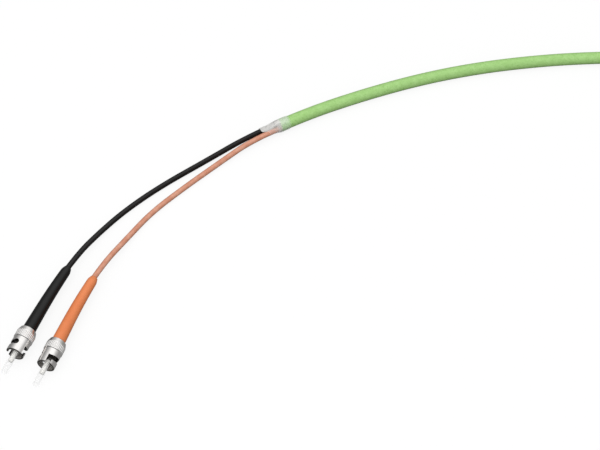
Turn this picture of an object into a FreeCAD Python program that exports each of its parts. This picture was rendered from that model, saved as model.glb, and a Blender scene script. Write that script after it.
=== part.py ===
import FreeCAD, Part
import math
import os

from FreeCAD import Vector

# Duplex fibre optic patch cord with bayonet plugs, in millimetres.
# A round green cable splits into a black and an orange lead at each end, and each lead ends in a plug.
# The cord lies on a table at z = 0. The origin is on the table, in the middle of the near pair of plugs.
# A plug is made along its own x axis, towards the tip, with x = 0 where the boot ends and the metal starts.

# Bayonet coupling nut
nut_radius = 5.1
nut_front_radius = 4.8
nut_rear_radius = 4.4
nut_length = 15.45
nut_cone_length = 2.6
nut_rear_wall = 1.4
nut_edge = 0.3
adapter_bore_radius = 3.65
adapter_bore_depth = 9.8
spring_room_radius = 3.45
nut_travel = 2.5
grip_length = 4.0
grip_groove_count = 36
grip_groove_radius = 0.4
grip_groove_depth = 0.15

# Bayonet slots, with depths from the mouth to the middle of the slot
slot_count = 2
slot_width = 2.6
slot_entry_depth = 3.5
slot_detent_depth = 4.9
slot_sweep = 94.0
slot_cut_margin = 0.3
detent_diameter = 3.2

# Plug barrel, with its crimp post, flange and key
shaft_radius = 2.2
post_radius = 1.75
post_length = 9.5
post_groove_count = 5
post_groove_width = 0.7
post_groove_depth = 0.15
flange_radius = 3.2
flange_thickness = 1.2
hub_radius = 1.9
hub_length = 2.6
key_width = 1.1
key_length = 1.6
key_height = 1.0
fibre_bore_radius = 0.6

# Retaining ring, thrust washer and spring
ring_width = 0.8
ring_radius = 3.1
ring_groove_depth = 0.35
ring_gap_width = 1.6
washer_thickness = 0.5
washer_radius = 3.25
spring_pressed_length = 2.9
spring_length = spring_pressed_length + nut_travel
spring_mean_radius = 2.82
spring_wire_radius = 0.24
spring_turns = 4.5

# Ceramic ferrule, dust cap and fibre
ferrule_radius = 1.25
ferrule_tail_radius = 1.0
ferrule_seat_depth = 5.65
ferrule_beyond_nut = 5.0
ferrule_edge = 0.35
ferrule_counterbore_depth = 4.0
cap_beyond_nut = 12.4
cap_wall = 0.42
cap_end_wall = 1.6
cap_end_round = 0.9
cap_rim_width = 0.55
cap_rim_length = 1.0
cap_to_hub = 0.4
buffer_radius = 0.45

# Crimp sleeve and boot
crimp_wall = 0.4
crimp_yarn_room = 0.15
crimp_lead_grip = 6.0
boot_length = 42.4
boot_front_radius = 3.5
boot_rear_radius = 2.65
boot_lip_radius = 1.9
boot_shoulder_length = 2.4
boot_edge = 0.4
lead_depth_in_boot = 9.5
lead_straight_behind_boot = 9.0

# Cable, leads and split
jacket_radius = 3.4
lead_radius = 1.5
lead_offset_at_split = 1.65
lead_straight_at_split = 17.5
split_wall = 0.3
split_over_jacket = 4.6
split_over_leads = 11.0
split_mouth_half_width = 3.75
split_mouth_half_height = 2.25

# Clearances
flat_clearance = 0.1
slide_clearance = 0.08
soft_clearance = 0.05
fit_clearance = 0.01
cap_clearance = 0.05
round_slack = 0.001
straight_slack = 0.0001

# Coil of the length of cable that is put away, in two layers
coil_turn_gap = 0.5
coil_width_ratio = 11
quarter_count_in = 11
quarter_count_out = 10
arc_share = 0.45

# Heights of the middle of each cable above the table
plug_height = nut_radius
jacket_height = jacket_radius + soft_clearance
lead_height = lead_radius + soft_clearance
split_height = jacket_radius + split_wall + 2 * soft_clearance

# Places along a plug
nut_start = flat_clearance + soft_clearance
nut_mouth = nut_start + nut_length
ring_start = nut_start + flat_clearance
nut_shoulder = ring_start + ring_width + flat_clearance
washer_start = nut_shoulder + nut_rear_wall + soft_clearance
spring_start = washer_start + washer_thickness
flange_start = spring_start + spring_length
hub_start = flange_start + flange_thickness
hub_end = hub_start + hub_length
ferrule_tip = nut_mouth + ferrule_beyond_nut
ferrule_start = hub_end - ferrule_seat_depth
cap_start = hub_end + cap_to_hub
cap_tip = nut_mouth + cap_beyond_nut
lead_end_start = -post_length - flat_clearance
crimp_step = -post_length
crimp_start = crimp_step - crimp_lead_grip
lead_cut = lead_depth_in_boot - boot_length

# Plugs: place of x = 0 on the table, yaw, and the angle of the first slot's entry from the top.
# The far pair is past the right edge of the picture and has no dust caps on.
plugs = {
    "near_black": {"at": (-9.9, -3.1), "yaw": -113.0, "entry": 71.0, "capped": True},
    "near_orange": {"at": (5.6, -10.0), "yaw": -110.5, "entry": 18.0, "capped": True},
    "far_black": {"at": (313.6, -76.7), "yaw": 183.0, "entry": 70.0, "capped": False},
    "far_orange": {"at": (316.4, -59.0), "yaw": 178.0, "entry": -55.0, "capped": False},
}

# Routes, chosen by hand: the cable from its near split to the coil, and each lead from the end of its
# straight stretch in the split to its plug
cable_run_route = [
    (117.2, 131.2, split_height),
    (129.7, 138.0, split_height),
    (147.7, 146.7, jacket_height),
    (174.8, 157.5, jacket_height),
    (202.4, 166.5, jacket_height),
    (230.5, 173.1, jacket_height),
    (258.6, 177.4, jacket_height),
    (286.2, 179.9, jacket_height),
    (324.3, 181.0, jacket_height),
    (361.1, 181.0, jacket_height),
]
lead_routes = {
    "near_black": [
        (77.8, 108.7, 1.8),
        (53.9, 91.2, lead_height),
        (35.5, 74.9, lead_height),
        (20.7, 59.0, 2.4),
    ],
    "near_orange": [
        (85.1, 107.0, 1.8),
        (65.8, 89.4, lead_height),
        (49.3, 73.6, lead_height),
        (35.0, 56.4, 2.4),
    ],
    "far_black": [
        (408.5, -1.1, 1.8),
        (411.3, -24.1, lead_height),
        (409.0, -46.7, lead_height),
        (399.8, -62.8, lead_height),
        (385.1, -72.4, 2.4),
    ],
    "far_orange": [
        (403.9, -0.2, 1.8),
        (404.8, -20.9, lead_height),
        (399.8, -39.3, lead_height),
        (387.4, -54.5, 2.2),
    ],
}
cable_tail_drop = [(24.0, 0.0), (57.0, 1.3), (88.0, 5.9)]


def ring_solid(profile):
    """Turns a closed outline of (x, radius) points round the x axis."""
    points = [Vector(x, 0, r) for x, r in profile]
    outline = Part.makePolygon(points + points[:1])
    return Part.Face(outline).revolve(Vector(0, 0, 0), Vector(1, 0, 0), 360)


def rod(start, end, radius):
    return Part.makeCylinder(radius, end - start, Vector(start, 0, 0), Vector(1, 0, 0))


def corner_arc(before, corner, after):
    """Makes the arc from before to after whose tangents meet at the corner."""
    middle = (before + after) * 0.5
    rise = corner - middle
    half_chord = (after - before).Length / 2
    if rise.Length < straight_slack:
        return Part.LineSegment(before, after).toShape()
    half_turn = math.atan(rise.Length / half_chord)
    top = middle + rise * (half_chord * math.tan(half_turn / 2) / rise.Length)
    return Part.Arc(before, top, after).toShape()


def biarc(start, start_way, end, end_way):
    """Joins two points with two arcs that follow the given ways."""
    gap = end - start
    both_ways = start_way + end_way
    a = 2 * (start_way.dot(end_way) - 1)
    b = -2 * gap.dot(both_ways)
    c = gap.dot(gap)
    reach = (-b - math.sqrt(b * b - 4 * a * c)) / (2 * a)
    first_corner = start + start_way * reach
    last_corner = end - end_way * reach
    joint = (first_corner + last_corner) * 0.5
    return [corner_arc(start, first_corner, joint), corner_arc(joint, last_corner, end)]


def rounded_route(name, points):
    """Joins straight runs with tangent arcs and prints the arcs' radii."""
    corners = [Vector(*p) for p in points]
    edges = []
    radii = []
    here = corners[0]
    for before, corner, after in zip(corners, corners[1:], corners[2:]):
        way_in = (corner - before).normalize()
        way_out = (after - corner).normalize()
        cut = arc_share * min((corner - before).Length, (after - corner).Length)
        arc_start = corner - way_in * cut
        arc_end = corner + way_out * cut
        edges.append(Part.LineSegment(here, arc_start).toShape())
        edges.append(corner_arc(arc_start, corner, arc_end))
        radii.append(cut / math.tan(way_in.getAngle(way_out) / 2))
        here = arc_end
    edges.append(Part.LineSegment(here, corners[-1]).toShape())
    print(name, "arc radii:", [round(r) for r in radii])
    return edges


def tube(name, edges, radius):
    """Sweeps a round section along the edges and prints how well its volume fits its length."""
    path = Part.Wire(edges)
    first = edges[0]
    way = first.tangentAt(first.FirstParameter)
    section = Part.Wire(Part.makeCircle(radius, first.valueAt(first.FirstParameter), way))
    solid = path.makePipeShell([section], True, False)
    share = solid.Volume / (math.pi * radius * radius * path.Length)
    print(name, "length", round(path.Length, 1), "volume share", round(share, 4))
    return solid


def print_least_gap(name, edges, radius):
    """Measures, on points half a radius apart, how near a wound tube comes to itself."""
    points = Part.Wire(edges).discretize(Distance=radius / 2)
    skip = 24
    least = min(
        points[i].distanceToPoint(q)
        for i in range(len(points))
        for q in points[i + skip :]
    )
    print(name, "least gap to itself", round(least - 2 * radius, 3))


def wound_edges(places):
    """Joins (point, way) pairs with biarcs."""
    edges = []
    for (start, start_way), (end, end_way) in zip(places, places[1:]):
        edges += biarc(start, start_way, end, end_way)
    return edges


def make_nut(entry_angle):
    bore = shaft_radius + slide_clearance
    ring_room_radius = ring_radius + flat_clearance
    room_end = nut_mouth - adapter_bore_depth
    grip_end = nut_start + nut_cone_length + grip_length
    nut = ring_solid(
        [
            (nut_shoulder, bore),
            (nut_shoulder, ring_room_radius),
            (nut_start, ring_room_radius),
            (nut_start, nut_rear_radius - nut_edge),
            (nut_start + nut_edge, nut_rear_radius),
            (nut_start + nut_cone_length, nut_radius),
            (grip_end, nut_radius),
            (grip_end + nut_edge, nut_front_radius),
            (nut_mouth - nut_edge, nut_front_radius),
            (nut_mouth, nut_front_radius - nut_edge),
            (nut_mouth, adapter_bore_radius),
            (room_end, adapter_bore_radius),
            (room_end, spring_room_radius),
            (nut_shoulder + nut_rear_wall, spring_room_radius),
            (nut_shoulder + nut_rear_wall, bore),
        ]
    )
    groove_middle = nut_radius + grip_groove_radius - grip_groove_depth
    grooves = []
    for i in range(grip_groove_count):
        turn = 2 * math.pi * (i + 0.5) / grip_groove_count
        start = Vector(
            nut_start + nut_cone_length + nut_edge,
            groove_middle * math.sin(turn),
            groove_middle * math.cos(turn),
        )
        length = grip_length - 2 * nut_edge
        grooves.append(Part.makeCylinder(grip_groove_radius, length, start, Vector(1, 0, 0)))
    cuts = grooves + [make_slot(entry_angle + 360 * i / slot_count) for i in range(slot_count)]
    return nut.cut(cuts)


def make_slot(entry_angle):
    """Makes the space of one bayonet slot: a straight entry, a helical ramp and a round detent."""
    inside = adapter_bore_radius - slot_cut_margin
    outside = nut_radius + slot_cut_margin
    ramp_depth = slot_detent_depth - slot_entry_depth
    helix = Part.makeHelix(ramp_depth * 360 / slot_sweep, ramp_depth, nut_radius)
    half = slot_width / 2
    section = Part.makePolygon(
        [
            Vector(inside, 0, -half),
            Vector(outside, 0, -half),
            Vector(outside, 0, half),
            Vector(inside, 0, half),
            Vector(inside, 0, -half),
        ]
    )
    ramp = Part.Wire(helix.Edges).makePipeShell([section], True, True)
    entry = Part.makeBox(
        outside - inside,
        slot_width,
        slot_entry_depth + half + nut_edge,
        Vector(inside, -half, -slot_entry_depth - nut_edge),
    )
    detent = Part.makeCylinder(
        detent_diameter / 2, outside - inside, Vector(inside, 0, 0), Vector(1, 0, 0)
    )
    detent.rotate(Vector(0, 0, 0), Vector(0, 0, 1), slot_sweep)
    detent.translate(Vector(0, 0, ramp_depth))
    slot = entry.fuse([ramp, detent])
    slot.rotate(Vector(0, 0, 0), Vector(0, 1, 0), -90)
    slot.translate(Vector(nut_mouth - slot_entry_depth, 0, 0))
    slot.rotate(Vector(0, 0, 0), Vector(1, 0, 0), -entry_angle)
    return slot


def make_barrel():
    groove_radius = shaft_radius - ring_groove_depth
    seat_radius = ferrule_tail_radius + fit_clearance
    outline = [(-post_length, fibre_bore_radius), (-post_length, post_radius)]
    spacing = post_length / (post_groove_count + 1)
    for i in range(1, post_groove_count + 1):
        middle = -post_length + i * spacing
        outline += [
            (middle - post_groove_width / 2, post_radius),
            (middle - post_groove_width / 2, post_radius - post_groove_depth),
            (middle + post_groove_width / 2, post_radius - post_groove_depth),
            (middle + post_groove_width / 2, post_radius),
        ]
    outline += [
        (0, post_radius),
        (0, shaft_radius),
        (ring_start - soft_clearance, shaft_radius),
        (ring_start - soft_clearance, groove_radius),
        (ring_start + ring_width + soft_clearance, groove_radius),
        (ring_start + ring_width + soft_clearance, shaft_radius),
        (flange_start, shaft_radius),
        (flange_start, flange_radius),
        (hub_start, flange_radius),
        (hub_start, hub_radius),
        (hub_end, hub_radius),
        (hub_end, seat_radius),
        (ferrule_start, seat_radius),
        (ferrule_start, fibre_bore_radius),
    ]
    key = Part.makeBox(
        key_length + flange_thickness / 2,
        key_width,
        key_height,
        Vector(hub_start - flange_thickness / 2, -key_width / 2, flange_radius - key_height - fit_clearance),
    )
    return ring_solid(outline).fuse(key).removeSplitter()


def make_ferrule():
    """Makes the ceramic ferrule, whose tail sits in the barrel and takes the fibre."""
    counterbore = buffer_radius + soft_clearance
    return ring_solid(
        [
            (ferrule_start, counterbore),
            (ferrule_start, ferrule_tail_radius),
            (hub_end + fit_clearance, ferrule_tail_radius),
            (hub_end + fit_clearance, ferrule_radius),
            (ferrule_tip - ferrule_edge, ferrule_radius),
            (ferrule_tip, ferrule_radius - ferrule_edge),
            (ferrule_tip, 0),
            (ferrule_start + ferrule_counterbore_depth, 0),
            (ferrule_start + ferrule_counterbore_depth, counterbore),
        ]
    )


def make_spring():
    """Makes the helical spring between the thrust washer and the barrel's flange."""
    start = spring_start + soft_clearance + spring_wire_radius
    end = flange_start - soft_clearance - spring_wire_radius
    steps = round(spring_turns * 4)
    places = []
    for i in range(steps + 1):
        turn = 2 * math.pi * spring_turns * i / steps
        rise = (end - start) / (2 * math.pi * spring_turns)
        across = spring_mean_radius * math.sin(turn)
        up = spring_mean_radius * math.cos(turn)
        places.append((Vector(start + rise * turn, across, up), Vector(rise, up, -across).normalize()))
    return wound_edges(places)


def make_ring():
    inner = shaft_radius - ring_groove_depth + fit_clearance
    ring = rod(ring_start, ring_start + ring_width, ring_radius)
    gap = Part.makeBox(ring_width, ring_gap_width, ring_radius, Vector(ring_start, -ring_gap_width / 2, 0))
    return ring.cut([rod(ring_start, ring_start + ring_width, inner), gap])


def make_washer():
    hole = rod(washer_start, spring_start, shaft_radius + slide_clearance)
    return rod(washer_start, spring_start, washer_radius).cut(hole)


def make_crimp_sleeve():
    """Makes the stepped sleeve that holds the yarn on the post and grips the lead's jacket."""
    front_bore = post_radius + crimp_yarn_room
    rear_bore = lead_radius + fit_clearance
    return ring_solid(
        [
            (crimp_start, rear_bore),
            (crimp_start, rear_bore + crimp_wall),
            (crimp_step - crimp_wall, rear_bore + crimp_wall),
            (crimp_step, front_bore + crimp_wall),
            (-flat_clearance, front_bore + crimp_wall),
            (-flat_clearance, front_bore),
            (crimp_step, front_bore),
            (crimp_step - crimp_wall, rear_bore),
        ]
    )


def make_boot():
    front_bore = post_radius + crimp_yarn_room + crimp_wall + soft_clearance
    rear_bore = lead_radius + soft_clearance
    bore_step = crimp_start - flat_clearance
    return ring_solid(
        [
            (-boot_length, rear_bore),
            (-boot_length, boot_lip_radius),
            (boot_shoulder_length - boot_length, boot_rear_radius),
            (-boot_edge, boot_front_radius),
            (0, boot_front_radius - boot_edge),
            (0, front_bore),
            (bore_step, front_bore),
            (bore_step, rear_bore),
        ]
    )


def make_lead_end():
    return rod(lead_cut, lead_end_start, lead_radius)


def make_buffer():
    end = ferrule_start + ferrule_counterbore_depth - soft_clearance
    return rod(lead_end_start, end, buffer_radius)


def make_cap():
    bore = ferrule_radius + cap_clearance
    body = bore + cap_wall
    rim = body + cap_rim_width
    round_start = cap_tip - cap_end_round
    outline = [
        Vector(cap_start, 0, bore),
        Vector(cap_start, 0, rim),
        Vector(cap_start + cap_rim_length, 0, rim),
        Vector(cap_start + cap_rim_length, 0, body),
        Vector(round_start, 0, body),
        Vector(cap_tip, 0, body - cap_end_round),
        Vector(cap_tip, 0, 0),
        Vector(cap_tip - cap_end_wall, 0, 0),
        Vector(cap_tip - cap_end_wall, 0, bore),
    ]
    edges = []
    for a, b in zip(outline, outline[1:] + outline[:1]):
        edges.append(Part.LineSegment(a, b).toShape())
    slant = cap_end_round * math.sqrt(0.5)
    top = Vector(round_start + slant, 0, body - cap_end_round + slant)
    edges[4] = Part.Arc(outline[4], top, outline[5]).toShape()
    face = Part.Face(Part.Wire(edges))
    return face.revolve(Vector(0, 0, 0), Vector(1, 0, 0), 360)


def place_on_table(shape, plug):
    x, y = plug["at"]
    placed = shape.copy()
    placed.rotate(Vector(0, 0, 0), Vector(0, 0, 1), plug["yaw"])
    placed.translate(Vector(x, y, plug_height))
    return placed


def plug_point(plug, distance):
    """Gives the point on a plug's axis at a distance along it."""
    yaw = math.radians(plug["yaw"])
    x, y = plug["at"]
    return (x + distance * math.cos(yaw), y + distance * math.sin(yaw), plug_height)


def make_plug(plug):
    pieces = {
        "boot": make_boot(),
        "crimp_sleeve": make_crimp_sleeve(),
        "lead_end": make_lead_end(),
        "fibre_buffer": make_buffer(),
        "barrel": make_barrel(),
        "retaining_ring": make_ring(),
        "ferrule": make_ferrule(),
        "spring": tube("spring", make_spring(), spring_wire_radius),
        "thrust_washer": make_washer(),
        "coupling_nut": make_nut(plug["entry"]),
    }
    if plug["capped"]:
        pieces["dust_cap"] = make_cap()
    return {name: place_on_table(piece, plug) for name, piece in pieces.items()}


def split_frame(end, cable_side):
    """Gives the jacket's end, the way from it towards the leads, and the way across."""
    end = Vector(*end)
    way = (end - Vector(*cable_side)).normalize()
    across = Vector(0, 0, 1).cross(way).normalize()
    return end, way, across


def oval(middle, across, way, half_width, half_height):
    """Makes an oval wire, wide along the way across, square to the way."""
    up = way.cross(across)
    ellipse = Part.Ellipse(
        middle + across * half_width, middle + up * half_height, middle
    )
    return Part.Wire(ellipse.toShape())


def make_split_sleeve(end, way, across):
    """Makes the clear shrunk sleeve from the end of the jacket over the first stretch of both leads."""
    start = end - way * split_over_jacket
    mouth = end + way * split_over_leads
    layers = []
    for inset in (0, split_wall):
        round_half = jacket_radius + soft_clearance + split_wall - inset
        rings = [
            oval(start, across, way, round_half + round_slack, round_half),
            oval(end, across, way, round_half + round_slack, round_half),
            oval(mouth, across, way, split_mouth_half_width - inset, split_mouth_half_height - inset),
        ]
        layers.append(Part.makeLoft(rings, True, True))
    return layers[0].cut(layers[1])


def coil_places():
    """Gives the coil's (point, way) pairs, from the end of the run to the start of the tail."""
    pitch = 2 * jacket_radius + coil_turn_gap
    middle_radius = coil_width_ratio * jacket_radius
    inner_radius = middle_radius - pitch * quarter_count_in / 8
    first_radius = inner_radius + pitch * quarter_count_in / 4
    last_radius = inner_radius + pitch * quarter_count_out / 4
    first_lean = math.atan(pitch / (2 * math.pi * first_radius))
    last_lean = math.atan(pitch / (2 * math.pi * last_radius))
    steps = quarter_count_in + quarter_count_out
    quarter = (steps * math.pi / 2 + first_lean + last_lean) / steps
    start = Vector(*cable_run_route[-1]) + Vector(2 * jacket_radius, 0, 0)
    first_angle = math.pi / 2 + first_lean
    centre = start - Vector(math.cos(first_angle), math.sin(first_angle), 0) * first_radius
    places = []
    for i in range(steps + 1):
        angle = first_angle - i * quarter
        out = Vector(math.cos(angle), math.sin(angle), 0)
        along = Vector(math.sin(angle), -math.cos(angle), 0)
        side = i - quarter_count_in
        radius = inner_radius + abs(side) * pitch / 4
        spread = pitch / (2 * math.pi * radius)
        if side == 0:
            way = along + Vector(0, 0, 1) * (pitch / (radius * quarter * 2))
            level = pitch / 2
        else:
            way = along + out * math.copysign(spread, side)
            level = pitch if side > 0 else 0
        places.append((centre + out * radius + Vector(0, 0, level), way.normalize()))
    return places


def make_coil():
    """Makes the put-away coil: straight for a diameter, in, up a layer, out, straight for a diameter."""
    places = coil_places()
    first = places[0][0] - Vector(2 * jacket_radius, 0, 0)
    last = places[-1][0] - Vector(0, 2 * jacket_radius, 0)
    edges = [Part.LineSegment(first, places[0][0]).toShape()]
    edges += wound_edges(places)
    edges.append(Part.LineSegment(places[-1][0], last).toShape())
    print_least_gap("cable_coil", edges, jacket_radius)
    return tube("cable_coil", edges, jacket_radius), last


def tail_route(start):
    """Gives the tail's points: down from the coil's upper layer to the table, away from the coil."""
    heights = [start.z, split_height, split_height]
    route = [(start.x, start.y, start.z)]
    for (away, aside), height in zip(cable_tail_drop, heights):
        route.append((start.x - aside, start.y - away, height))
    return route


def make_lead(name, plug, split, side):
    """Makes a lead from its place in the split to its cut inside the boot."""
    end, way, across = split
    start = end + across * (side * lead_offset_at_split)
    bend = start + way * lead_straight_at_split
    behind_boot = -boot_length - lead_straight_behind_boot
    route = [(start.x, start.y, start.z), (bend.x, bend.y, bend.z)]
    route += lead_routes[name]
    route += [plug_point(plug, behind_boot), plug_point(plug, lead_cut)]
    return tube(name + "_lead", rounded_route(name + "_lead", route), lead_radius)


os.makedirs("parts", exist_ok=True)
nodes = {}

for plug_name, plug_values in plugs.items():
    for piece_name, piece_shape in make_plug(plug_values).items():
        nodes[plug_name + "_" + piece_name] = piece_shape
print_least_gap("spring", make_spring(), spring_wire_radius)

nodes["cable_run"] = tube("cable_run", rounded_route("cable_run", cable_run_route), jacket_radius)
nodes["cable_coil"], coil_end = make_coil()
tail = tail_route(coil_end)
nodes["cable_tail"] = tube("cable_tail", rounded_route("cable_tail", tail), jacket_radius)

near_split = split_frame(cable_run_route[0], cable_run_route[1])
far_split = split_frame(tail[-1], tail[-2])
nodes["near_split_sleeve"] = make_split_sleeve(*near_split)
nodes["far_split_sleeve"] = make_split_sleeve(*far_split)
print("far jacket end", tail[-1], "way", far_split[1])

nodes["near_black_lead"] = make_lead("near_black", plugs["near_black"], near_split, -1)
nodes["near_orange_lead"] = make_lead("near_orange", plugs["near_orange"], near_split, 1)
nodes["far_black_lead"] = make_lead("far_black", plugs["far_black"], far_split, 1)
nodes["far_orange_lead"] = make_lead("far_orange", plugs["far_orange"], far_split, -1)

for node_name, node_shape in nodes.items():
    node_shape.exportStep("parts/" + node_name + ".step")
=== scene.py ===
import math

import bmesh
import bpy
from mathutils import Matrix, Vector


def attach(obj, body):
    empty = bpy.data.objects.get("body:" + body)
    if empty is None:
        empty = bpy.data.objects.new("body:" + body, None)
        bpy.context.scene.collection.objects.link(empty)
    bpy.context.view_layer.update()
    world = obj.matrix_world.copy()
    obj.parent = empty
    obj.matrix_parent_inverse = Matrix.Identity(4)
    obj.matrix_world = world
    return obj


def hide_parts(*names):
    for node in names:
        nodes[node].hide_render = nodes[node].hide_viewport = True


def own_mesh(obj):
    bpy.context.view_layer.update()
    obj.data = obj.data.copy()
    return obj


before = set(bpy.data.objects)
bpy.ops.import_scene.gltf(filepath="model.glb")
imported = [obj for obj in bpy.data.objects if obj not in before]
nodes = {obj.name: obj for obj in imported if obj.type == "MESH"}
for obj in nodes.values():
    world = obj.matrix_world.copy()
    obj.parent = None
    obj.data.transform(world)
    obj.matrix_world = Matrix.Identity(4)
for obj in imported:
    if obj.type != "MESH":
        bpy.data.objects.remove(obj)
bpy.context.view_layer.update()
up = Vector((0, 0, 1))
print("frame loaded with", len(nodes), "CAD nodes")

# Camera, at the photograph's angle
camera = {
    "aim": (0.1284, 0.0669, 0.0),
    "distance": 1.15,
    "elevation": 54.0,
    "lens": 130.0,
    "sensor": 36.0,
}
lift = math.radians(camera["elevation"])
away = Vector((0, -math.cos(lift), math.sin(lift)))
eye = bpy.data.objects.new("eye", bpy.data.cameras.new("eye"))
bpy.context.scene.collection.objects.link(eye)
eye.location = Vector(camera["aim"]) + away * camera["distance"]
eye.rotation_euler = away.to_track_quat("Z", "Y").to_euler()
eye.data.lens = camera["lens"]
eye.data.sensor_width = camera["sensor"]
bpy.context.scene.camera = eye
print("camera placed")


class Wire:  # a socket that Python's own maths works on
    def __init__(self, tree, socket):
        self.tree = tree
        self.socket = socket

    def maths(self, operation, first, second):
        node = self.tree.nodes.new("ShaderNodeMath")
        node.operation = operation
        join(self.tree, node.inputs[0], first)
        join(self.tree, node.inputs[1], second)
        return Wire(self.tree, node.outputs[0])

    def __add__(self, other):
        return self.maths("ADD", self, other)

    def __radd__(self, other):
        return self.maths("ADD", other, self)

    def __sub__(self, other):
        return self.maths("SUBTRACT", self, other)

    def __rsub__(self, other):
        return self.maths("SUBTRACT", other, self)

    def __mul__(self, other):
        return self.maths("MULTIPLY", self, other)

    def __rmul__(self, other):
        return self.maths("MULTIPLY", other, self)


def join(tree, socket, value):
    if isinstance(value, Wire):
        tree.links.new(value.socket, socket)
    else:
        socket.default_value = value


class Finish:  # makes one material, or the world's nodes
    def __init__(self, name, world=None):
        self.data = world or bpy.data.materials.new(name)
        self.data.use_nodes = True
        self.tree = self.data.node_tree
        self.tree.nodes.clear()

    def node(self, kind, settings, sockets, output=0):
        made = self.tree.nodes.new("ShaderNode" + kind)
        for key, value in settings.items():
            if key == "stops":
                elements = made.color_ramp.elements
                while len(elements) < len(value):
                    elements.new(0.5)
                for element, (place, tint) in zip(elements, value):
                    element.position = place
                    element.color = tint
            else:
                setattr(made, key, value)
        for key, value in sockets.items():
            join(self.tree, made.inputs[key], value)
        return Wire(self.tree, made.outputs[output]) if len(made.outputs) else None

    def place(self):
        return self.node("TexCoord", {}, {}, "Object")

    def noise(self, place, scale, detail, rough=0.5):
        sockets = {"Vector": place, "Scale": scale, "Detail": detail, "Roughness": rough}
        return self.node("TexNoise", {}, sockets)

    def spread(self, value, low, high, outLow=0.0, outHigh=1.0):
        sockets = {"Value": value, "From Min": low, "From Max": high, "To Min": outLow, "To Max": outHigh}
        return self.node("MapRange", {"interpolation_type": "SMOOTHSTEP"}, sockets)

    def blend(self, share, first, second):
        return self.node("Mix", {"data_type": "RGBA"}, {0: share, 6: first, 7: second}, 2)

    def bump(self, height, strength, distance):
        return self.node("Bump", {}, {"Height": height, "Strength": strength, "Distance": distance})

    def vector(self, operation, first, second, output="Vector"):
        return self.node("VectorMath", {"operation": operation}, {0: first, 1: second}, output)

    def ray(self, kind):
        return self.node("LightPath", {}, {}, kind)

    def close(self, shader, kind="OutputMaterial"):
        self.node(kind, {}, {"Surface": shader})
        return self.data

    def surface(self, **sockets):
        named = {key.replace("_", " "): value for key, value in sockets.items()}
        return self.close(self.node("BsdfPrincipled", {}, named))


def paint(red, green, blue):  # screen values from 0 to 255, as a linear colour
    levels = [value / 255 for value in (red, green, blue)]
    linear = [v / 12.92 if v <= 0.04045 else ((v + 0.055) / 1.055) ** 2.4 for v in levels]
    return (*linear, 1.0)


# Places of the four plugs: where the boot ends and the metal starts, on the table
plugs = {
    "near_black": {"at": (-0.0099, -0.0031), "yaw": -113.0},
    "near_orange": {"at": (0.0056, -0.01), "yaw": -110.5},
    "far_black": {"at": (0.3136, -0.0767), "yaw": 183.0},
    "far_orange": {"at": (0.3164, -0.059), "yaw": 178.0},
}
plugHeight = 0.0051


def plugFrame(name):
    turn = Matrix.Rotation(math.radians(plugs[name]["yaw"]), 4, "Z")
    return Matrix.Translation((*plugs[name]["at"], plugHeight)) @ turn


def plugPoint(name, distance, aside=0):
    return plugFrame(name) @ Vector((distance, aside, 0))


sharpFrom = math.radians(38)  # a mesh edge that turns more is shaded sharp


def colourOf(name):
    return name.split("_")[1]


def mix(first, second, share):
    return first + (second - first) * share


def smoothStep(value):
    value = min(max(value, 0), 1)
    return value * value * (3 - 2 * value)


def bridge(mesh, first, second):
    count = len(first)
    for i in range(count):
        j = (i + 1) % count
        mesh.faces.new((first[i], first[j], second[j], second[i]))


def meshPiece(name, mesh, finish, replaced):
    bmesh.ops.recalc_face_normals(mesh, faces=mesh.faces)
    data = bpy.data.meshes.new(name)
    mesh.to_mesh(data)
    mesh.free()
    data.shade_smooth()
    data.set_sharp_from_angle(angle=sharpFrom)
    data.materials.append(finish)
    piece = bpy.data.objects.new(name, data)
    bpy.context.scene.collection.objects.link(piece)
    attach(piece, "cord")
    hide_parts(*replaced)
    return piece


# Finishes of the cables: a noise is given as scale, detail and roughness, a bump as strength and depth
jacketLook = {
    "green": paint(160, 205, 124),
    "greenPale": paint(169, 213, 134),
    "greenDeep": paint(130, 181, 92),
    "clouds": (420, 3.0),
    "cloudEdges": (0.35, 0.68),
    "specks": (1100, 3.0, 0.65),
    "speckEdges": (0.5, 0.72),
    "speckShare": 0.55,
    "grain": (2600, 2.0),
    "cloudRelief": 0.4,
    "roughness": 0.42,
    "speckRoughness": 0.14,
    "shine": 0.32,
    "bump": (0.2, 0.0001),
}
leadLook = {
    "black": {"tones": (paint(9, 7, 7), paint(18, 14, 13)), "roughness": 0.24, "shine": 0.38},
    "orange": {"tones": (paint(206, 139, 111), paint(218, 158, 132)), "roughness": 0.36, "shine": 0.5},
    "buffer": {"tones": (paint(238, 237, 230), paint(230, 229, 222)), "roughness": 0.4, "shine": 0.5},
    "clouds": (300, 2.0),
    "cloudEdges": (0.35, 0.7),
    "grain": (3200, 2.0, 0.6),
    "grainRoughness": 0.12,
    "bump": (0.15, 0.00006),
}


def greenJacketFinish():
    made = Finish("greenJacket")
    look = jacketLook
    place = made.place()
    clouds = made.spread(made.noise(place, *look["clouds"]), *look["cloudEdges"])
    specks = made.spread(made.noise(place, *look["specks"]), *look["speckEdges"])
    tint = made.blend(clouds, look["green"], look["greenPale"])
    grain = made.noise(place, *look["grain"])
    return made.surface(
        Base_Color=made.blend(specks * look["speckShare"], tint, look["greenDeep"]),
        Roughness=look["roughness"] + specks * look["speckRoughness"],
        Specular_IOR_Level=look["shine"],
        Normal=made.bump(grain + clouds * look["cloudRelief"], *look["bump"]),
    )


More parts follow.
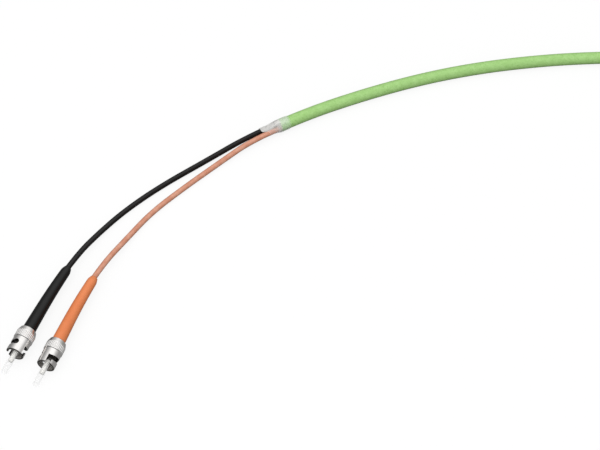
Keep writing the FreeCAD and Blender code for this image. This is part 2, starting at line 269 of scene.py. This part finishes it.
def skinFinish(name, look, kind):  # of a lead's jacket or of a boot
    own = look[kind]
    made = Finish(name)
    place = made.place()
    clouds = made.spread(made.noise(place, *look["clouds"]), *look["cloudEdges"])
    grain = made.noise(place, *look["grain"])
    return made.surface(
        Base_Color=made.blend(clouds, *own["tones"]),
        Roughness=own["roughness"] + grain * look["grainRoughness"],
        Specular_IOR_Level=own["shine"],
        Normal=made.bump(grain, *look["bump"]),
    )


greenJacket = greenJacketFinish()
leadFinishes = {colour: skinFinish(colour + "Lead", leadLook, colour) for colour in ("black", "orange")}
print("cable finishes made")
cordDetail = {"order": 3, "stepsAlong": 10, "stepsRound": 8}


def cordCurve(name, points, radius, finish, replaced):
    data = bpy.data.curves.new(name, "CURVE")
    data.dimensions = "3D"
    line = data.splines.new("NURBS")
    line.points.add(len(points) - 1)
    for knot, point in zip(line.points, points):
        knot.co = (*point, 1.0)
    line.order_u = cordDetail["order"]
    line.use_endpoint_u = True
    line.resolution_u = cordDetail["stepsAlong"]
    data.bevel_depth = radius
    data.bevel_resolution = cordDetail["stepsRound"]
    data.use_fill_caps = True
    data.materials.append(finish)
    cord = bpy.data.objects.new(name, data)
    bpy.context.scene.collection.objects.link(cord)
    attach(cord, "cord")
    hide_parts(*replaced)
    return cord


# Green cable: the run in view, the put-away coil in two layers, and the tail to the far split
cable = {
    "radius": 0.0034,
    "height": 0.00345,
    "run": [
        (0.1172, 0.1312, 0.0038),
        (0.1297, 0.138, 0.0038),
        (0.1477, 0.1467, 0.00345),
        (0.1748, 0.1575, 0.00345),
        (0.2024, 0.1665, 0.00345),
        (0.2305, 0.1731, 0.00345),
        (0.2586, 0.1774, 0.00345),
        (0.2862, 0.1799, 0.00345),
        (0.3243, 0.181, 0.00345),
        (0.3611, 0.181, 0.00345),
    ],
    "tail": [
        (0.41466, 0.12562, 0.01075),
        (0.41466, 0.10162, 0.0038),
        (0.41336, 0.06862, 0.0038),
        (0.40876, 0.03762, 0.0038),
    ],
    "length": 1.5765,
}
coil = {
    "centre": (0.369062, 0.133577),
    "pitch": 0.0073,
    "innerRadius": 0.0273625,
    "quartersIn": 11,
    "quartersOut": 10,
    "firstLean": 0.0245,
    "lastLean": 0.0255,
    "pointsPerTurn": 24,
}


def coilPoints():
    quarters = coil["quartersIn"] + coil["quartersOut"]
    count = round(quarters * coil["pointsPerTurn"] / 4)
    turned = quarters * math.pi / 2 + coil["firstLean"] + coil["lastLean"]
    inward = 1 / (0.75 + 0.25 * math.cos(turned / count))  # the spline runs inside its control points
    x, y = coil["centre"]
    points = []
    for i in range(count + 1):
        angle = math.pi / 2 + coil["firstLean"] - turned * i / count
        side = quarters * i / count - coil["quartersIn"]
        radius = (coil["innerRadius"] + abs(side) * coil["pitch"] / 4) * inward
        level = cable["height"] + coil["pitch"] * smoothStep((side + 1) / 2)
        points.append((x + radius * math.cos(angle), y + radius * math.sin(angle), level))
    return points


greenCable = cordCurve(
    "greenCable",
    cable["run"] + coilPoints() + cable["tail"],
    cable["radius"],
    greenJacket,
    ["cable_run", "cable_coil", "cable_tail"],
)
print("green cable laid")

# The two leads at each end: side by side out of the jacket, then apart to their boots
leads = {
    "radius": 0.0015,
    "apart": 0.00165,
    "straight": 0.0175,
    "cut": -0.0329,
    "behindBoot": -0.0514,
    "aside": {"near_black": 0.0016, "near_orange": 0.0018, "far_black": -0.0009, "far_orange": 0.0009},
    "routes": {
        "near_black": [
            (0.0778, 0.1087, 0.0018),
            (0.0537, 0.0915, 0.00155),
            (0.0352, 0.0752, 0.00155),
            (0.0218, 0.0593, 0.0024),
        ],
        "near_orange": [
            (0.0849, 0.1072, 0.0018),
            (0.0655, 0.0898, 0.00155),
            (0.0492, 0.0738, 0.00155),
            (0.037, 0.0561, 0.0024),
        ],
        "far_black": [
            (0.4085, -0.0011, 0.0018),
            (0.4113, -0.0241, 0.00155),
            (0.409, -0.0467, 0.00155),
            (0.3998, -0.0628, 0.00155),
            (0.3851, -0.0724, 0.0024),
        ],
        "far_orange": [
            (0.4039, -0.0002, 0.0018),
            (0.4048, -0.0209, 0.00155),
            (0.3998, -0.0393, 0.00155),
            (0.3874, -0.0545, 0.0022),
        ],
    },
    "sides": {"near_black": -1, "near_orange": 1, "far_black": 1, "far_orange": -1},
    "lengths": {"near_black": 0.1581, "near_orange": 0.1516, "far_black": 0.1586, "far_orange": 0.136},
}


def splitFrame(end, inside):  # the jacket's end, the way out of it, and the way across
    end = Vector(end)
    way = (end - Vector(inside)).normalized()
    return end, way, up.cross(way).normalized()


splits = {"near": splitFrame(*cable["run"][:2]), "far": splitFrame(cable["tail"][-1], cable["tail"][-2])}
for name, route in leads["routes"].items():
    end, way, across = splits[name.split("_")[0]]
    start = end + across * leads["sides"][name] * leads["apart"]
    points = [start, start + way * leads["straight"]] + route
    points += [plugPoint(name, leads["behindBoot"], leads["aside"][name]), plugPoint(name, leads["cut"])]
    colour = colourOf(name)
    cordCurve(
        name.replace("_", "-") + "-lead",
        points,
        leads["radius"],
        leadFinishes[colour],
        [name + "_lead"],
    )
print("leads laid")


# Clear shrunk sleeve at each split: round over the jacket, drawn in over the two leads
sleeve = {
    "overJacket": 0.0063,
    "overLeads": 0.011,
    "wall": 0.0003,
    "roundRadius": 0.00375,
    "leadRadius": 0.0018,
    "leadSpread": 0.00165,
    "lobe": 0.06,  # the smaller, the more its section parts into two rounds
    "waist": 0.12,
    "slant": 0.34,
    "slantWidth": 0.003,
    "drawnFrom": -0.0005,
    "drawnIn": 0.0078,
    "rings": 44,
    "points": 72,
    "ripple": 0.00005,
    "ripplesRound": 7,
    "rippleTwist": 900,
}
sleeveLook = {  # places across run towards the orange lead, places along from the jacket's end
    "white": (paint(230, 229, 226), paint(242, 241, 238)),
    "mint": paint(222, 246, 210),
    "mintShare": 0.7,
    # milky cover with a painted sheen, fading from the black lead's side towards the orange lead
    "milkAndSheen": 0.53,
    "milk": (260, 2.0),
    "milkEdges": (0.3, 0.75),
    "milkShare": 0.08,
    "sheenFading": 0.36,
    "sheenFadingAcross": (0.0002, 0.0016),
    "mintAndSheen": 0.58,
    "mintSheenFading": 0.3,
    "mintSheenFadingAcross": (0.001, 0.003),
    "jacketEndsAlong": (-0.001, 0.0004),
    # painted light: extra cover at the jacket's end lightens the shade of its end face
    "endLighteningShare": 0.2,
    "endLighteningStartsAlong": (-0.0012, -0.0002),
    "endLighteningEndsAlong": (0.0012, 0.003),
    "sleeveStartsAlong": (-0.0063, -0.0042),
    "creases": (900, 2.0),
    "roughness": 0.34,
    "creaseRoughness": 0.16,
    "shine": 0.3,
    "bump": (0.1, 0.0001),
}


def sleeveFinish(where, end, way, toOrange):  # milky, with a painted sheen that whitens it on the black lead's side
    made = Finish("clearShrink_" + where)
    look = sleeveLook
    place = made.place()
    arm = made.vector("SUBTRACT", place, end)
    aside = made.vector("DOT_PRODUCT", arm, toOrange, "Value")
    beyond = made.vector("DOT_PRODUCT", arm, way, "Value")
    onJacket = 1 - made.spread(beyond, *look["jacketEndsAlong"])
    # painted light over the shade at the jacket's end
    endLightening = made.spread(beyond, *look["endLighteningStartsAlong"]) * (1 - made.spread(beyond, *look["endLighteningEndsAlong"]))
    milk = made.spread(made.noise(place, *look["milk"]), *look["milkEdges"])
    creases = made.noise(place, *look["creases"])
    # painted sheen: more cover on the black lead's side, less towards the orange lead
    overLeads = look["milkAndSheen"] - made.spread(aside, *look["sheenFadingAcross"]) * look["sheenFading"]
    overLeads = overLeads + milk * look["milkShare"] + endLightening * look["endLighteningShare"]
    overJacket = look["mintAndSheen"] - made.spread(aside, *look["mintSheenFadingAcross"]) * look["mintSheenFading"]
    cover = overLeads * (1 - onJacket) + overJacket * onJacket
    white = made.blend(milk, *look["white"])
    return made.surface(
        Base_Color=made.blend(onJacket * look["mintShare"], white, look["mint"]),
        Roughness=look["roughness"] + creases * look["creaseRoughness"],
        Specular_IOR_Level=look["shine"],
        Alpha=cover * made.spread(beyond, *look["sleeveStartsAlong"]),
        Normal=made.bump(creases, *look["bump"]),
    )


def sleeveRing(distance, inset):  # points of one ring, as places aside and up
    drawn = smoothStep((distance - sleeve["drawnFrom"]) / sleeve["drawnIn"])
    roundRadius = sleeve["roundRadius"] - inset
    leadRadius = sleeve["leadRadius"] - inset
    ring = []
    for i in range(sleeve["points"]):
        angle = 2 * math.pi * i / sleeve["points"]
        side, top = math.cos(angle), math.sin(angle)
        pushed = side / math.sqrt(side * side + sleeve["lobe"])
        waist = 1 - sleeve["waist"] * (1 - abs(pushed)) ** 2
        twinSide = sleeve["leadSpread"] * pushed + leadRadius * side
        twinTop = leadRadius * top * waist
        wave = math.sin(sleeve["ripplesRound"] * angle + sleeve["rippleTwist"] * distance)
        creased = sleeve["ripple"] * wave * math.sin(math.pi * drawn)
        aside = mix(roundRadius * side, twinSide, drawn) + creased * side
        ring.append((aside, mix(roundRadius * top, twinTop, drawn) + creased * top))
    return ring


def makeSleeve(where):
    end, way, across = splits[where]
    orangeSide = leads["sides"][where + "_orange"]
    mesh = bmesh.new()
    layers = []
    for inset in (0, sleeve["wall"]):
        rings = []
        for k in range(sleeve["rings"] + 1):
            share = k / sleeve["rings"]
            distance = mix(-sleeve["overJacket"], sleeve["overLeads"], share)
            ring = []
            for aside, height in sleeveRing(distance, inset):
                slanted = smoothStep(orangeSide * aside / sleeve["slantWidth"]) * sleeve["slant"]
                reach = distance - slanted * max(distance, 0)
                ring.append(mesh.verts.new(end + way * reach + across * aside + up * height))
            rings.append(ring)
        layers.append(rings)
    for rings in layers:
        for first, second in zip(rings, rings[1:]):
            bridge(mesh, first, second)
    for k in (0, -1):
        bridge(mesh, layers[0][k], layers[1][k])
    finish = sleeveFinish(where, end, way, across * orangeSide)
    return meshPiece(where + "-splitSleeve", mesh, finish, [where + "_split_sleeve"])


sleeves = {where: makeSleeve(where) for where in splits}
print("split sleeves shrunk on")


# Strain relief boots, turned from one outline with a parting line down each side
boot = {
    "outline": [  # (place along the plug, radius)
        (-0.0424, 0.00158),
        (-0.0424, 0.00181),
        (-0.04226, 0.00193),
        (-0.0418, 0.00208),
        (-0.0410, 0.00234),
        (-0.0405, 0.00251),
        (-0.0399, 0.00261),
        (-0.0391, 0.00266),
        (-0.0360, 0.00274),
        (-0.0320, 0.00282),
        (-0.0280, 0.00291),
        (-0.0240, 0.00299),
        (-0.0200, 0.00308),
        (-0.0160, 0.00316),
        (-0.0120, 0.00325),
        (-0.0060, 0.00338),
        (-0.0016, 0.00347),
        (-0.0006, 0.00348),
        (-0.00018, 0.00341),
        (0.0, 0.00326),
        (0.0, 0.00236),
        (-0.0156, 0.00236),
        (-0.0156, 0.00158),
    ],
    "segments": 96,
    "seam": 0.00005,
    "bowFrom": -0.012,
    "bow": {"near_black": 0.0011, "near_orange": 0.0013, "far_black": -0.0006, "far_orange": 0.0006},
}
bootLook = {
    "black": {"tones": (paint(4, 4, 4), paint(8, 8, 8)), "roughness": 0.2, "shine": 0.38},
    "orange": {"tones": (paint(226, 128, 76), paint(231, 136, 84)), "roughness": 0.32, "shine": 0.4},
    "clouds": (130, 2.0),
    "cloudEdges": (0.3, 0.7),
    "grain": (2400, 3.0, 0.6),
    "grainRoughness": 0.16,
    "bump": (0.2, 0.0001),
}
bootFinishes = {colour: skinFinish(colour + "Boot", bootLook, colour) for colour in ("black", "orange")}


def bowed(name, along):  # the boot's middle line follows its lead a little aside towards its rear
    reach = boot["outline"][0][0] - boot["bowFrom"]
    share = max((along - boot["bowFrom"]) / reach, 0)
    way = Vector((1, 2 * boot["bow"][name] * share / reach, 0)).normalized()
    return Vector((along, boot["bow"][name] * share * share, 0)), up.cross(way)


def makeBoot(name):
    mesh = bmesh.new()
    half = boot["segments"] // 2
    rings = []
    for along, radius in boot["outline"]:
        middle, across = bowed(name, along)
        ring = []
        for i in range(boot["segments"]):
            angle = 2 * math.pi * i / boot["segments"]
            seam = boot["seam"] if i % half == half // 2 else 0
            out = across * math.sin(angle) + up * math.cos(angle)
            ring.append(mesh.verts.new(plugFrame(name) @ (middle + out * (radius + seam))))
        rings.append(ring)
    for first, second in zip(rings, rings[1:] + rings[:1]):
        bridge(mesh, first, second)
    colour = colourOf(name)
    called = name.replace("_", "-") + "-boot"
    return meshPiece(called, mesh, bootFinishes[colour], [name + "_boot"])


boots = {name: makeBoot(name) for name in plugs}
print("boots turned")


# Finishes of the CAD pieces of each plug
nutLook = {  # metres from the axis, and along it from the boot
    "plate": (paint(248, 246, 244), paint(243, 240, 237)),
    # painted highlight on the grip
    "gripHighlight": paint(255, 253, 251),
    "gripStart": (0.0027, 0.003),
    "gripEnd": (0.0066, 0.007),
    "paintedShade": paint(60, 58, 56),  # painted shade, inside the nut and in its slots
    "paintedShadeRadius": (0.00455, 0.00475),
    "paintedShadeStart": (0.0034, 0.0042),
    # a lighter painted shade on the bore by the mouth
    "bore": paint(206, 204, 200),
    "boreRadius": (0.0037, 0.00378),
    "boreStart": (0.0098, 0.0122),
    "rim": paint(98, 96, 92),  # painted shade on the front face
    "rimStart": (0.01535, 0.0155),
    "clouds": (420, 3.0),
    "cloudEdges": (0.35, 0.7),
    "scratches": (3200, 2.0, 0.6),
    "roughness": 0.2,
    "paintedShadeRoughness": 0.24,
    "gripRoughness": 0.02,
    "cloudRoughness": 0.05,
    "bump": (0.04, 0.00003),
}
metalLook = {
    # painted shade: the barrel and washer inside the nut are painted darker than plated metal
    "innerPaintedShade": {"tones": (paint(134, 132, 128), paint(114, 112, 108)), "roughness": 0.3},
    "crimp": {"tones": (paint(200, 196, 184), paint(182, 177, 164)), "roughness": 0.34},
    "spring": {"tones": (paint(164, 166, 170), paint(140, 142, 146)), "roughness": 0.3},
    "clouds": (900, 3.0),
    "cloudEdges": (0.3, 0.7),
    "cloudRoughness": 0.12,
    "scratches": (4800, 2.0),
    "bump": (0.1, 0.00003),
}
ceramicLook = {
    "tones": (paint(250, 249, 245), paint(244, 243, 238)),
    "clouds": (700, 2.0),
    "roughness": 0.12,
    "cloudRoughness": 0.08,
    "coat": 0.4,
    "coatRoughness": 0.06,
    "grain": (4000, 2.0),
    "bump": (0.04, 0.00002),
}
capLook = {
    "tones": (paint(246, 247, 247), paint(250, 250, 250)),
    "clouds": (600, 2.0),
    "cover": (0.3, 0.7, 0.08, 0.1),  # clouds from, clouds to, alpha from, alpha to
    "roughness": 0.36,
    "cloudRoughness": 0.1,
    "shine": 0.2,
    "waves": (500, 2.0),
    "bump": (0.03, 0.00004),
}


def nutFinish(name):
    made = Finish("plated_" + name)
    look = nutLook
    place = made.place()
    axis = plugFrame(name).to_3x3() @ Vector((1, 0, 0))
    arm = made.vector("SUBTRACT", place, plugPoint(name, 0))
    along = made.vector("DOT_PRODUCT", arm, axis, "Value")
    crossed = made.vector("CROSS_PRODUCT", arm, axis)
    radius = made.node("VectorMath", {"operation": "LENGTH"}, {0: crossed}, "Value")
    # painted shade: the inside and slots dark, the bore by the mouth lighter, the front face dark grey
    paintedShade = (1 - made.spread(radius, *look["paintedShadeRadius"])) * made.spread(along, *look["paintedShadeStart"])
    bore = (1 - made.spread(radius, *look["boreRadius"])) * made.spread(along, *look["boreStart"])
    rim = made.spread(along, *look["rimStart"]) * (1 - bore)
    grip = made.spread(along, *look["gripStart"]) * (1 - made.spread(along, *look["gripEnd"]))
    clouds = made.spread(made.noise(place, *look["clouds"]), *look["cloudEdges"])
    # painted highlight: the grip is painted whiter than the rest of the plate
    plate = made.blend(grip, made.blend(clouds, *look["plate"]), look["gripHighlight"])
    paintedShadeTone = made.blend(rim, made.blend(bore, look["paintedShade"], look["bore"]), look["rim"])
    roughness = look["roughness"] + paintedShade * look["paintedShadeRoughness"]
    return made.surface(
        Base_Color=made.blend(paintedShade, plate, paintedShadeTone),
        Metallic=1.0,
        Roughness=roughness + grip * look["gripRoughness"] + clouds * look["cloudRoughness"],
        Normal=made.bump(made.noise(place, *look["scratches"]), *look["bump"]),
    )


def metalFinish(name, kind):
    look = metalLook
    own = look[kind]
    made = Finish(name)
    place = made.place()
    clouds = made.noise(place, *look["clouds"])
    return made.surface(
        Base_Color=made.blend(made.spread(clouds, *look["cloudEdges"]), *own["tones"]),
        Metallic=1.0,
        Roughness=own["roughness"] + clouds * look["cloudRoughness"],
        Normal=made.bump(made.noise(place, *look["scratches"]), *look["bump"]),
    )


def ceramicFinish():
    made = Finish("ceramic")
    look = ceramicLook
    place = made.place()
    clouds = made.noise(place, *look["clouds"])
    return made.surface(
        Base_Color=made.blend(clouds, *look["tones"]),
        Roughness=look["roughness"] + clouds * look["cloudRoughness"],
        Coat_Weight=look["coat"],
        Coat_Roughness=look["coatRoughness"],
        Normal=made.bump(made.noise(place, *look["grain"]), *look["bump"]),
    )


def capFinish():
    made = Finish("clearCap")
    look = capLook
    place = made.place()
    clouds = made.noise(place, *look["clouds"])
    return made.surface(
        Base_Color=made.blend(clouds, *look["tones"]),
        Roughness=look["roughness"] + clouds * look["cloudRoughness"],
        Specular_IOR_Level=look["shine"],
        Alpha=made.spread(clouds, *look["cover"]),
        Normal=made.bump(made.noise(place, *look["waves"]), *look["bump"]),
    )


def dress(node, finish):
    nodes[node].data.materials.clear()
    nodes[node].data.materials.append(finish)


# darker as painted shade, for the barrel and thrust washer
innerMetalPaintedShade = metalFinish("innerMetalPaintedShade", "innerPaintedShade")
crimpMetal = metalFinish("crimpMetal", "crimp")
springSteel = metalFinish("springSteel", "spring")
ceramic = ceramicFinish()
clearCap = capFinish()
fibreBuffer = skinFinish("fibreBuffer", leadLook, "buffer")
for name in plugs:
    dress(name + "_coupling_nut", nutFinish(name))
    dress(name + "_barrel", innerMetalPaintedShade)
    dress(name + "_retaining_ring", springSteel)
    dress(name + "_thrust_washer", innerMetalPaintedShade)
    dress(name + "_crimp_sleeve", crimpMetal)
    dress(name + "_ferrule", ceramic)
    dress(name + "_fibre_buffer", fibreBuffer)
    dress(name + "_lead_end", leadFinishes[colourOf(name)])
    if name + "_dust_cap" in nodes:
        dress(name + "_dust_cap", clearCap)
print("CAD pieces dressed")

# Springs inside the nuts
spring = {
    "start": 0.00339,
    "end": 0.00821,
    "seat": 0.0085,
    "pressedShare": 2.9 / 5.4,  # its length when pressed, over its length at rest
    "coilRadius": 0.00282,
    "wire": 0.00024,
    "turns": 4.5,
    "stepsPerTurn": 36,
    "sides": 12,
}


def makeSpring(name):
    mesh = bmesh.new()
    count = round(spring["turns"] * spring["stepsPerTurn"])
    whole = 2 * math.pi * spring["turns"]
    rise = (spring["end"] - spring["start"]) / whole
    rings = []
    for i in range(count + 1):
        turn = whole * i / count
        out = Vector((0, math.sin(turn), math.cos(turn)))
        wayOn = Vector((rise, 0, 0)) + Vector((0, out.z, -out.y)) * spring["coilRadius"]
        side = out.cross(wayOn).normalized()
        middle = Vector((spring["start"] + rise * turn, 0, 0)) + out * spring["coilRadius"]
        ring = []
        for k in range(spring["sides"]):
            angle = 2 * math.pi * k / spring["sides"]
            around = (out * math.cos(angle) + side * math.sin(angle)) * spring["wire"]
            ring.append(mesh.verts.new(plugFrame(name) @ (middle + around)))
        rings.append(ring)
    for first, second in zip(rings, rings[1:]):
        bridge(mesh, first, second)
    mesh.faces.new(rings[0])
    mesh.faces.new(rings[-1])
    called = name.replace("_", "-") + "-spring"
    piece = meshPiece(called, mesh, springSteel, [name + "_spring"])
    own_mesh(piece)
    return piece


springs = {name: makeSpring(name) for name in plugs}
print("springs wound")
# Floor, lamps and sky
studio = {
    "floorSize": 12.0,
    "floor": (paint(251, 251, 251), paint(248, 248, 248)),
    "floorClouds": (40, 2.0),
    "floorCloudShare": 0.3,
    "floorUnseen": paint(70, 70, 70),
    "glow": 0.86,
    "mirrored": 0.22,
    "lamps": [
        {"name": "key", "at": (-0.36, -0.68, 1.67), "size": 1.6, "power": 8.0},
    ],
    "lightWay": (0.0, -0.32, 0.95),
    "light": [(0.0, 0.05), (0.5, 0.32), (1.0, 1.24)],
    "mirrorWay": (0.3, 0.45, 0.84),
    "mirror": [(0.0, 0.08), (0.5, 0.13), (0.7, 0.28), (0.87, 0.56), (0.97, 1.08)],
}


def makeFloor():  # white to the camera, through glass and, less, in metal
    made = Finish("floor")
    place = made.place()
    seen = made.ray("Is Camera Ray")
    mirrored = made.ray("Is Glossy Ray")
    through = made.ray("Is Transmission Ray")
    clouds = made.noise(place, *studio["floorClouds"]) * studio["floorCloudShare"]
    tone = made.blend(clouds, *studio["floor"])
    plain = made.node("BsdfDiffuse", {}, {"Color": made.blend(seen, studio["floorUnseen"], tone)})
    white = made.node("Emission", {}, {"Color": (1, 1, 1, 1), "Strength": 1.0})
    lit = (seen + through) * studio["glow"] + mirrored * studio["mirrored"]
    mixed = made.node("MixShader", {}, {0: lit, 1: plain, 2: white})
    half = studio["floorSize"] / 2
    corners = [(-half, -half, 0), (half, -half, 0), (half, half, 0), (-half, half, 0)]
    data = bpy.data.meshes.new("floor")
    data.from_pydata(corners, [], [(0, 1, 2, 3)])
    data.materials.append(made.close(mixed))
    floor = bpy.data.objects.new("floor", data)
    bpy.context.scene.collection.objects.link(floor)


def makeLamp(lamp):
    data = bpy.data.lights.new(lamp["name"], "AREA")
    data.shape = "SQUARE"
    data.size = lamp["size"]
    data.energy = lamp["power"]
    made = bpy.data.objects.new(lamp["name"], data)
    bpy.context.scene.collection.objects.link(made)
    made.location = lamp["at"]
    aim = Vector(lamp["at"]) - Vector(camera["aim"])
    made.rotation_euler = aim.to_track_quat("Z", "Y").to_euler()


def makeSky():
    world = bpy.data.worlds.new("sky")
    bpy.context.scene.world = world
    made = Finish("sky", world)
    way = made.node("TexCoord", {}, {}, "Generated")
    tones = []
    for part in ("light", "mirror"):
        towards = made.vector("DOT_PRODUCT", way, studio[part + "Way"], "Value")
        stops = [(place, (level, level, level, 1)) for place, level in studio[part]]
        share = towards * 0.5 + 0.5  # from 0 away from the way to 1 along it
        tones.append(made.node("ValToRGB", {"stops": stops}, {"Fac": share}))
    tone = made.blend(made.ray("Is Glossy Ray"), *tones)
    made.close(made.node("Background", {}, {"Color": tone, "Strength": 1.0}), "OutputWorld")


makeFloor()
for lamp in studio["lamps"]:
    makeLamp(lamp)
makeSky()
bpy.context.scene.view_settings.view_transform = "Standard"
print("studio lit")
